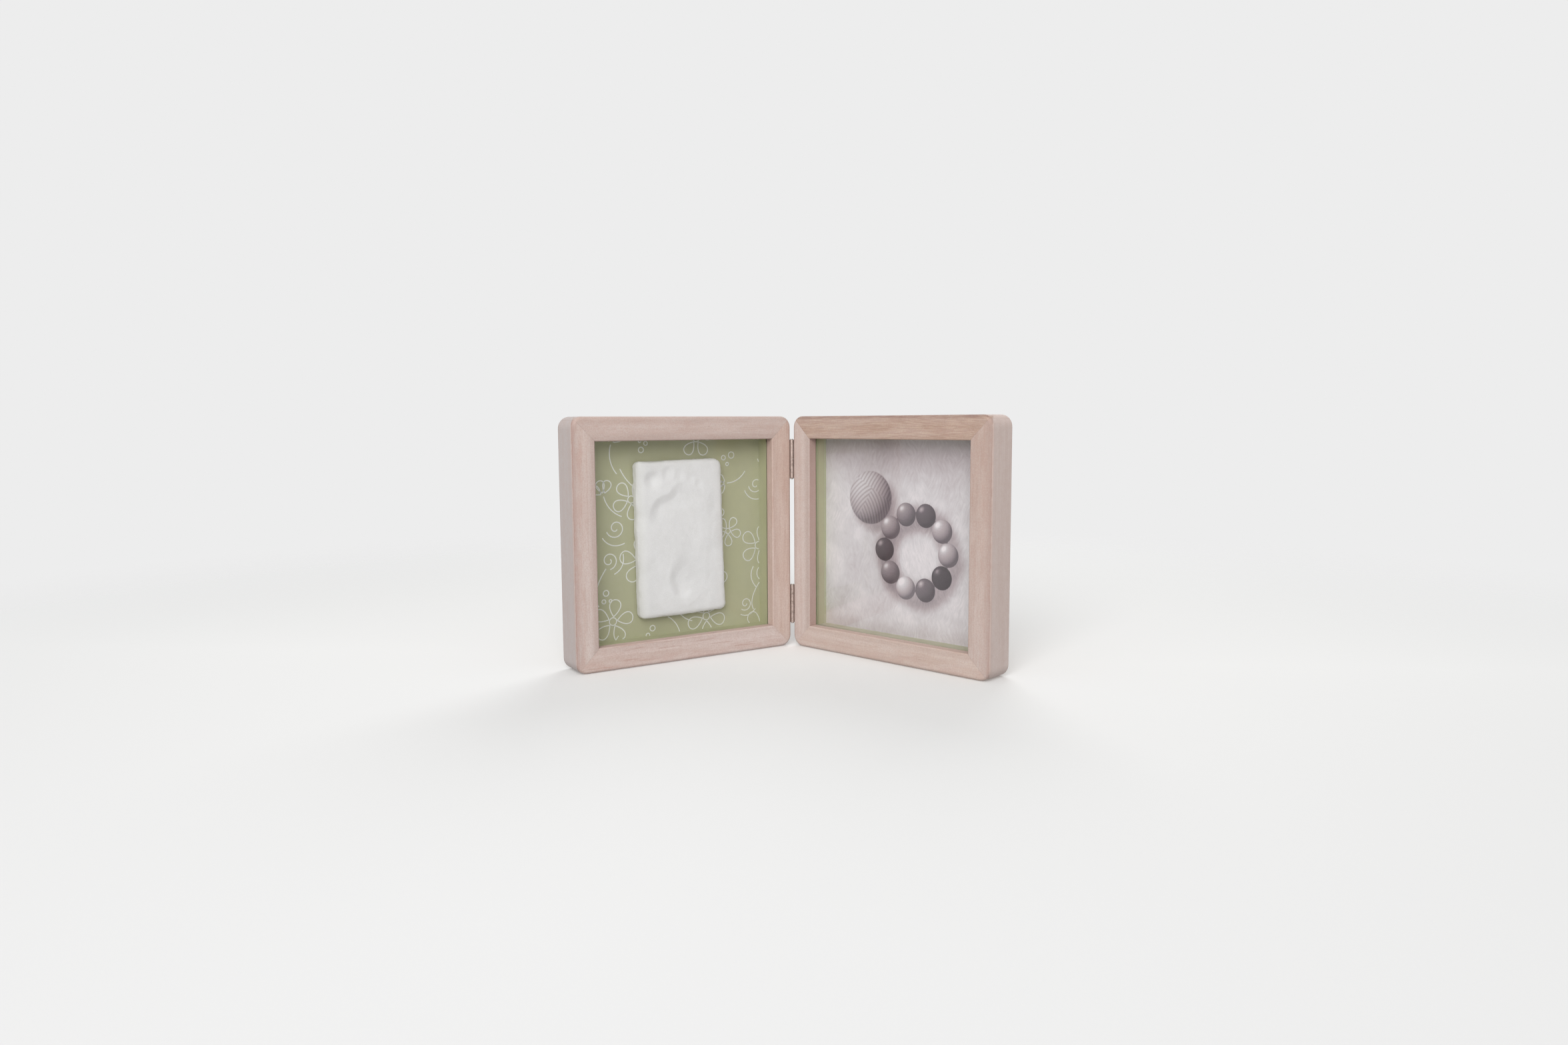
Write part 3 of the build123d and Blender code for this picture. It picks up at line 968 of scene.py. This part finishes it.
def stillLife():
    finish = PictureFinish()
    tone = finish.woolly(finish.beaded(finish.shaded(finish.blanket())))
    tone = tone + (finish.clouds(6.0) - 0.5) * picture["grain"]
    colour = finish.add("ShaderNodeValToRGB", {"stops": picture["tones"]}, Fac=tone)
    sheen = finish.cloud(finish.place, 900.0, 2.0)
    relief = finish.bump(sheen, picture["sheenDepth"], 0.5)
    return finish.surface(colour, 0.36 + 0.08 * sheen, relief)


dress("photo_print", stillLife())
print("sample picture painted")


# The slab of white clay, with a small foot pressed into it. The block is in metres, and what is
# pressed into it is in millimetres from the slab's middle. Its turn is in degrees.
slab = {
    "width": 0.067,
    "height": 0.1095,
    "thickness": 0.0085,
    "turn": 1.2,
    "taper": 0.011,
    "corners": {(-1, 1): 0.0034, (1, 1): 0.0062, (1, -1): 0.0046, (-1, -1): 0.0042},
    "cornerSteps": 8,
    "frontEdge": {"radius": 0.003, "steps": 6},
    "backEdge": {"radius": 0.0008, "steps": 3},
    "voxel": 0.00068,
    # each toe's place, its half sizes and its depth
    "toes": [
        (-21.5, 41, 7.4, 7, 2.05),
        (-9.6, 45.6, 5.4, 5.8, 0.95),
        (-0.9, 44.2, 4.6, 5, 0.62),
        (7.8, 41.2, 4.1, 4.4, 0.52),
        (14.4, 37.2, 3.8, 4.1, 0.45),
    ],
    "toeLean": 0.7,
    "toeReach": 1.15,
    # points round the sole's edge, how wide the slope is there, and how deep it goes down
    "sole": [
        (-24, 14, 8, 1.4),
        (-24, 21, 6.5, 1.9),
        (-20.5, 27.5, 6.5, 2.05),
        (-15, 30.5, 6.5, 2.05),
        (-9.5, 32.5, 6.5, 1.9),
        (-5, 36.5, 7, 1.6),
        (1.5, 38, 8, 0.9),
        (9, 35, 9, 0.65),
        (15, 29, 10, 0.6),
        (18.5, 20, 12, 0.6),
        (19, 8, 13, 0.6),
        (17.5, -8, 12, 0.6),
        (16, -20, 11, 0.8),
        (15.5, -31, 11.5, 0.85),
        (10.5, -40, 11.5, 0.9),
        (2.5, -45.5, 9.5, 1.2),
        (-5.5, -42, 6, 1.95),
        (-9.5, -34.5, 6, 2.05),
        (-10.5, -26, 6, 1.85),
        (-7.5, -18, 8, 1.0),
        (-5, -8, 11, 0.5),
        (-6.5, 2, 11, 0.5),
        (-14, 8, 10, 0.8),
        (-21, 10.5, 9, 1.0),
    ],
    # the edge's numbers are blended over this distance, and the clay stands up in a low lip
    # outside the edge
    "soleBlend": 2.0,
    "lip": {"share": 0.1, "out": 1.6, "width": 1.5},
    # the front falls off towards all sides, and rolls away at the left
    "crown": {"depth": 0.24, "reach": 5.0},
    "roll": {"depth": 2.4, "reach": 7.0},
    # lumps' sizes and heights in metres, on the front and on the edges
    "lumps": [(0.013, 0.00024), (0.0048, 0.00016), (0.0017, 0.00006)],
    "edgeLumps": [(0.011, 0.0005), (0.004, 0.00028), (0.0015, 0.00015)],
    "mostForward": 0.0002,
}


def slabBlock():
    # a block whose own x goes across, y to the back and z up, with its corners rounded
    width, thickness, height = slab["width"], slab["thickness"], slab["height"]
    block = bmesh.new()
    bmesh.ops.create_cube(block, size=1.0)
    bmesh.ops.scale(block, vec=(width, thickness, height), verts=block.verts)
    bmesh.ops.translate(block, vec=(0, thickness / 2, 0), verts=block.verts)

    def near(value, wanted):
        return abs(value - wanted) < closeEnough

    def roundOff(edges, radius, steps):
        bmesh.ops.bevel(
            block, geom=edges, offset=radius, segments=steps, profile=0.5, affect="EDGES"
        )

    for (across, up), radius in slab["corners"].items():
        chosen = []
        for edge in block.edges:
            middle = (edge.verts[0].co + edge.verts[1].co) / 2
            if near(middle.x, across * width / 2) and near(middle.z, up * height / 2):
                chosen.append(edge)
        roundOff(chosen, radius, slab["cornerSteps"])
    for depth, edge in ((0.0, slab["frontEdge"]), (thickness, slab["backEdge"])):
        rim = [side for side in block.edges if all(near(end.co.y, depth) for end in side.verts)]
        roundOff(rim, edge["radius"], edge["steps"])
    mesh = bpy.data.meshes.new("clayBlock")
    block.to_mesh(mesh)
    block.free()
    return mesh


def evenMesh(mesh, voxel):
    holder = addObject("holder", mesh)
    remesh = holder.modifiers.new("even", "REMESH")
    remesh.mode = "VOXEL"
    remesh.voxel_size = voxel
    return plainMesh(holder)


def smoothStep(value, low, high):
    share = np.clip((value - low) / (high - low), 0, 1)
    return share * share * (3 - 2 * share)


def rounded(spots, steps=14):
    # a smooth closed line through the spots, with their other numbers carried along it
    spots = np.array(spots)
    share = (np.arange(steps) / steps)[:, None]
    before, here, after, later = (np.roll(spots, -shift, 0) for shift in (-1, 0, 1, 2))
    runs = [
        0.5 * (
            2 * b + (c - a) * share
            + (2 * a - 5 * b + 4 * c - d) * share ** 2
            + (3 * b - a - 3 * c + d) * share ** 3
        )
        for a, b, c, d in zip(before, here, after, later)
    ]
    return np.concatenate(runs)


def insideOf(line, right, up):
    # whether each place lies inside a closed line
    inside = np.zeros(len(right), bool)
    for (x1, z1), (x2, z2) in zip(line, np.roll(line, -1, 0)):
        crosses = (z1 > up) != (z2 > up)
        if z1 != z2:
            inside ^= crosses & (right < x1 + (up - z1) * (x2 - x1) / (z2 - z1))
    return inside


def solePressed(right, up):
    # the slope's width and the depth are a mean over the edge, weighted by nearness
    line = rounded(slab["sole"])
    away = np.hypot(right[:, None] - line[:, 0], up[:, None] - line[:, 1])
    weight = 1 / (away ** 2 + slab["soleBlend"] ** 2) ** 2
    weight /= weight.sum(1, keepdims=True)
    width = weight @ line[:, 2]
    depth = weight @ line[:, 3]
    nearest = away.min(1) * np.where(insideOf(line[:, :2], right, up), 1, -1)
    lip = slab["lip"]
    raised = lip["share"] * depth * np.exp(-(((nearest + lip["out"]) / lip["width"]) ** 2))
    return depth * smoothStep(nearest / width, -0.15, 1.0) - raised


def toesPressed(right, up):
    # each toe leans deeper towards its tip
    total = np.zeros(len(right))
    for spotRight, spotUp, halfWidth, halfHeight, depth in slab["toes"]:
        a = (right - spotRight) / halfWidth
        b = (up - spotUp) / halfHeight
        lean = 1 + slab["toeLean"] * np.clip(0.8 * b - 0.6 * a, -1, 1)
        dent = depth * lean * (1 - smoothStep(np.hypot(a, b), 0.0, slab["toeReach"]))
        total = np.maximum(total, dent)
    return total


def pressed(points):
    # how far each point of the front goes back, in metres
    right = points[:, 0] * millimetres
    up = points[:, 2] * millimetres
    halfWidth = slab["width"] * millimetres / 2
    halfHeight = slab["height"] * millimetres / 2
    toes = np.maximum(toesPressed(right, up), 0)
    sole = solePressed(right, up)
    # where a toe meets the sole, the two run softly into one hollow
    deep = np.where(sole > 0, (toes ** 3 + np.abs(sole) ** 3) ** (1 / 3), toes + sole)
    fromSides = np.minimum(halfWidth - np.abs(right), halfHeight - np.abs(up))
    crown = slab["crown"]["depth"] * (1 - smoothStep(fromSides, 0, slab["crown"]["reach"]))
    fromLeft = halfWidth + right
    roll = slab["roll"]["depth"] * np.clip(1 - fromLeft / slab["roll"]["reach"], 0, 1) ** 2
    return (deep + crown + roll) / millimetres


def lumpy(points, sizes):
    heights = np.zeros(len(points))
    for size, height in sizes:
        heights += height * np.array([noise.noise(Vector(point) / size) for point in points])
    return heights


def vertexRows(mesh, what, kind):
    rows = np.empty(len(mesh.vertices) * 3, kind)
    mesh.vertices.foreach_get(what, rows)
    return rows.reshape(-1, 3)


def makeClaySlab():
    mesh = evenMesh(slabBlock(), slab["voxel"])
    points = vertexRows(mesh, "co", float)
    normals = vertexRows(mesh, "normal", np.float32)
    # what is pressed in dies away towards the back, and the front's lumps are lower than the
    # edges'
    frontShare = np.clip(1 - points[:, 1] / slab["thickness"], 0, 1) ** 1.5
    facing = smoothStep(np.abs(normals[:, 1]), 0.35, 0.95)
    bumps = lumpy(points, slab["lumps"]) * facing
    bumps += lumpy(points, slab["edgeLumps"]) * (1 - facing)
    sink = pressed(points) * frontShare
    points[:, 0] *= 1 - slab["taper"] * points[:, 2] / (slab["height"] / 2)
    points = points + normals * bumps[:, None]
    points[:, 1] += sink
    points[:, 1] = np.clip(points[:, 1], -slab["mostForward"], slab["thickness"])
    mesh.vertices.foreach_set("co", points.ravel())
    low, high = ownBox("clay_footprint_slab", -1)
    middle = (low + high) / 2
    place = ownPlace(-1) @ Matrix.Translation((middle.x, low.y, middle.z))
    mesh.transform(place @ Matrix.Rotation(-math.radians(slab["turn"]), 4, "Y"))
    mesh.polygons.foreach_set("use_smooth", [True] * len(mesh.polygons))
    mesh.update()
    return addObject("claySlab", mesh)


clay = {
    "white": screen(233, 232, 231),
    "shade": screen(225, 224, 222),
    "bright": screen(239, 239, 238),
    "feltDepth": 0.00016,
}


def whiteClay():
    finish = Finish("whiteClay", -1)
    felt = finish.cloud(finish.place, 1500.0, 3.0, 0.6)
    fine = finish.cloud(finish.place, 4200.0, 2.0, 0.6)
    broad = finish.patches(0.35, 0.68, 120.0, 3.0)
    crumbs = finish.patches(0.62, 0.76, 2300.0, 1.0)
    colour = finish.mixed(broad * 0.4, clay["white"], clay["shade"])
    colour = finish.mixed(finish.between(felt, 0.4, 0.65) * 0.45, colour, clay["bright"])
    colour = finish.mixed(crumbs * 0.35, colour, clay["shade"])
    relief = finish.bump(felt * 0.8 + fine * 0.5 + crumbs * 0.4, clay["feltDepth"], 0.75)
    return finish.surface(colour, 0.92 - 0.06 * felt, relief, Specular_IOR_Level=0.2)


claySlab = makeClaySlab()
claySlab.data.materials.clear()
claySlab.data.materials.append(whiteClay())
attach(claySlab, "left_frame")
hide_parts("clay_footprint_slab")
print("clay slab sculpted with", len(claySlab.data.polygons), "faces")


# White line drawing on the left frame's card: round-petalled flowers, buds, curls and
# rings, strewn at random and cut off at the linings as a printed sheet would be. These and
# the opening's width and the ink are the inputs of its Geometry Nodes tree.
lines = {
    "Overlap": 1.12,
    "Spacing": 0.0205,
    "Lift": 0.000001,
    "Line Width": 0.0008,
    "Line Thickness": 0.00006,
    "Line Step": 0.0006,
    "Petals": 5,
    "Smallest": 0.86,
    "Largest": 1.14,
    "Seed": 2,
}
# The ink has a faint grain, and its lines lie a little in the card.
ink = {
    "white": screen(232, 233, 228),
    "thin": screen(214, 217, 204),
    "grainDepth": 0.00002,
    "sink": 0.00001,
}


def lineMaterial():
    finish = Finish("whiteInk", -1)
    grain = finish.cloud(finish.place, 2600.0, 2.0)
    colour = finish.mixed(finish.between(grain, 0.35, 0.7) * 0.4, ink["white"], ink["thin"])
    return finish.surface(colour, 0.7 + 0.1 * grain, finish.bump(grain, ink["grainDepth"], 0.5))


# The motifs, in millimetres and degrees. A curve has its start, two handles and its end, and a
# circle its radius and place.
motifs = {
    "petal": ((3.2, 0.0), (18.5, -14.0), (18.5, 14.0), (3.2, 0.0)),
    "eye": (2.6, (0.0, 0.0)),
    "stem": ((-14.0, -4.0), (-21.0, -6.0), (-29.0, 2.0), (-34.0, 12.0)),
    "smallFlower": {"turn": 60.0, "size": 0.8},
    "budPetals": {"count": 3, "size": 0.72, "spread": 1.9},  # spread in radians
    "budStem": ((0.0, 0.0), (-5.0, -3.0), (-9.0, -9.0), (-9.0, -16.0)),
    "curl": {"rotations": 1.35, "start": 1.2, "end": 6.2},
    "tail": ((0.0, 0.0), (4.5, -3.0), (10.0, -3.0), (15.0, 2.0)),
    "tailPlace": {"spot": (-4.0, -9.5), "turn": 12.0},
    "rings": ((2.1, (0.0, 0.0)), (1.5, (5.2, 3.4)), (1.1, (1.2, 6.6))),
}


class LineNet(Net):
    # The line drawing's Geometry Nodes: its shapes, the motifs made of them, and the sheet.
    def shape(self, kind, settings=None, **sockets):
        return self.add("GeometryNode" + kind, settings, **sockets)

    def curve(self, *spots, steps=24):
        start, startHandle, endHandle, end = (
            (right / millimetres, up / millimetres, 0.0) for right, up in spots
        )
        return self.shape(
            "CurvePrimitiveBezierSegment", {"mode": "POSITION"}, Resolution=steps,
            Start=start, Start_Handle=startHandle, End_Handle=endHandle, End=end,
        )

    def circle(self, radius, spot):
        circle = self.shape("CurvePrimitiveCircle", Resolution=28, Radius=radius / millimetres)
        return self.moved(circle, spot)

    def curl(self, rotations, start, end):
        return self.shape(
            "CurveSpiral", Resolution=30, Rotations=rotations, Height=0.0,
            Start_Radius=start / millimetres, End_Radius=end / millimetres,
        )

    def moved(self, shape, spot=(0.0, 0.0), turn=0.0, size=1.0):
        return self.shape(
            "Transform", Geometry=shape, Rotation=(0.0, 0.0, math.radians(turn)),
            Translation=(spot[0] / millimetres, spot[1] / millimetres, 0.0), Scale=(size,) * 3,
        )

    def together(self, *shapes):
        return self.shape("JoinGeometry", Geometry=list(shapes))

    def copied(self, **sockets):
        copies = self.shape("InstanceOnPoints", **sockets)
        return self.shape("RealizeInstances", Geometry=copies)

    def fan(self, shape, count, wholeTurn):
        # copies of a shape turned round the middle
        turn = self.joined(0.0, 0.0, self.shape("InputIndex") * wholeTurn / count)
        spots = self.shape("Points", Count=count)
        return self.copied(Points=spots, Instance=shape, Rotation=turn)

    def random(self, low, high, seed):
        settings = {"data_type": "FLOAT"}
        return self.node("FunctionNodeRandomValue", settings, {2: low, 3: high, 8: seed}, 1)

    def motifKinds(self, petals):
        # one instance for each kind of motif
        petal = self.curve(*motifs["petal"], steps=32)
        petalRing = self.fan(petal, petals, math.tau)
        flower = self.together(petalRing, self.circle(*motifs["eye"]), self.curve(*motifs["stem"]))
        smallFlower = self.moved(flower, **motifs["smallFlower"])
        budPetals = motifs["budPetals"]
        smallPetal = self.moved(petal, size=budPetals["size"])
        budFan = self.fan(smallPetal, budPetals["count"], budPetals["spread"])
        bud = self.together(budFan, self.curve(*motifs["budStem"]))
        tail = self.moved(self.curve(*motifs["tail"]), **motifs["tailPlace"])
        tendril = self.together(self.curl(**motifs["curl"]), tail)
        rings = self.together(*(self.circle(*ring) for ring in motifs["rings"]))
        kinds = (flower, smallFlower, bud, tendril, rings)
        return [self.shape("GeometryToInstance", Geometry=motif) for motif in kinds]

    def strewn(self, given):
        # motifs at random on a sheet that reaches past the opening
        seed = given["Seed"]
        wide = given["Opening"] * given["Overlap"]
        sheet = self.shape("MeshGrid", Size_X=wide, Size_Y=wide, Vertices_X=2, Vertices_Y=2)
        spots = self.shape(
            "DistributePointsOnFaces", {"distribute_method": "POISSON"}, Mesh=sheet,
            Distance_Min=given["Spacing"], Density_Max=9000.0, Seed=seed,
        )
        # each motif lies a hair above the one before, so that no two faces lie in one plane
        lift = self.joined(0.0, 0.0, self.shape("InputIndex") * given["Lift"])
        spots = self.shape("SetPosition", Geometry=spots, Offset=lift)
        kinds = self.motifKinds(given["Petals"])
        sockets = {4: 0, 5: len(kinds) - 1, 8: seed}
        which = self.node("FunctionNodeRandomValue", {"data_type": "INT"}, sockets, 2)
        turn = self.random(0.0, math.tau, seed + 1)
        size = self.random(given["Smallest"], given["Largest"], seed + 2)
        return self.copied(
            Points=spots, Instance=self.together(*kinds), Pick_Instance=True,
            Instance_Index=which, Rotation=self.joined(0.0, 0.0, turn),
            Scale=self.joined(size, size, size),
        )

    def cutOff(self, strokes, given):
        # only what lies within the opening
        settings = {"mode": "LENGTH"}
        strokes = self.shape("ResampleCurve", settings, Curve=strokes, Length=given["Line Step"])
        wires = self.shape("CurveToMesh", Curve=strokes)
        x, y, _ = self.parts(self.shape("InputPosition"))
        beyond = self.most(abs(x), abs(y)) > given["Opening"] / 2
        settings = {"domain": "POINT"}
        wires = self.shape("DeleteGeometry", settings, Geometry=wires, Selection=beyond)
        return self.shape("MeshToCurve", Mesh=wires)

    def ribbons(self, strokes, given):
        strokes = self.shape("SetCurveNormal", {"mode": "Z_UP"}, Curve=strokes)
        width, thickness = given["Line Width"], given["Line Thickness"]
        ribbon = self.shape("CurvePrimitiveQuadrilateral", Width=width, Height=thickness)
        solid = self.shape("CurveToMesh", Curve=strokes, Profile_Curve=ribbon, Fill_Caps=True)
        solid = self.shape("RealizeInstances", Geometry=solid)
        return self.shape("SetMaterial", Geometry=solid, Material=given["Ink"])


def motifTree(values):
    tree = bpy.data.node_groups.new("flowerLines", "GeometryNodeTree")
    kinds = {float: "Float", int: "Int"}
    for name, value in values.items():
        kind = "NodeSocket" + kinds.get(type(value), "Material")
        tree.interface.new_socket(name, in_out="INPUT", socket_type=kind)
    tree.interface.new_socket("Lines", in_out="OUTPUT", socket_type="NodeSocketGeometry")
    net = LineNet(tree)
    given = dict(zip(values, net.node("NodeGroupInput", {}, {}, list(values))))
    strokes = net.cutOff(net.strewn(given), given)
    net.node("NodeGroupOutput", {}, {0: net.ribbons(strokes, given)})
    return tree


def makeFlowerLines():
    low, high = boxAround(["left_spacer_outer", "left_spacer_hinge"], -1)
    inner = ownBox("left_spacer_hinge", -1)[0].x - ownBox("left_spacer_outer", -1)[1].x
    values = {**lines, "Opening": inner, "Ink": lineMaterial()}
    holder = addObject("holder", bpy.data.meshes.new("holder"))
    modifier = holder.modifiers.new("lines", "NODES")
    modifier.node_group = motifTree(values)
    for socket in modifier.node_group.interface.items_tree:
        if socket.in_out == "INPUT":
            modifier[socket.identifier] = values[socket.name]
    mesh = plainMesh(holder)
    boardFront = ownBox("left_backing_board", -1)[0].y
    depth = boardFront - lines["Line Thickness"] / 2 + ink["sink"]
    middle = (low + high) / 2
    place = ownPlace(-1) @ Matrix.Translation((middle.x, depth, middle.z))
    mesh.transform(place @ Matrix.Rotation(math.pi / 2, 4, "X"))
    return addObject("flowerLines", mesh)


flowerLines = makeFlowerLines()
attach(flowerLines, "left_frame")
print("line drawing laid with", len(flowerLines.data.polygons), "faces")
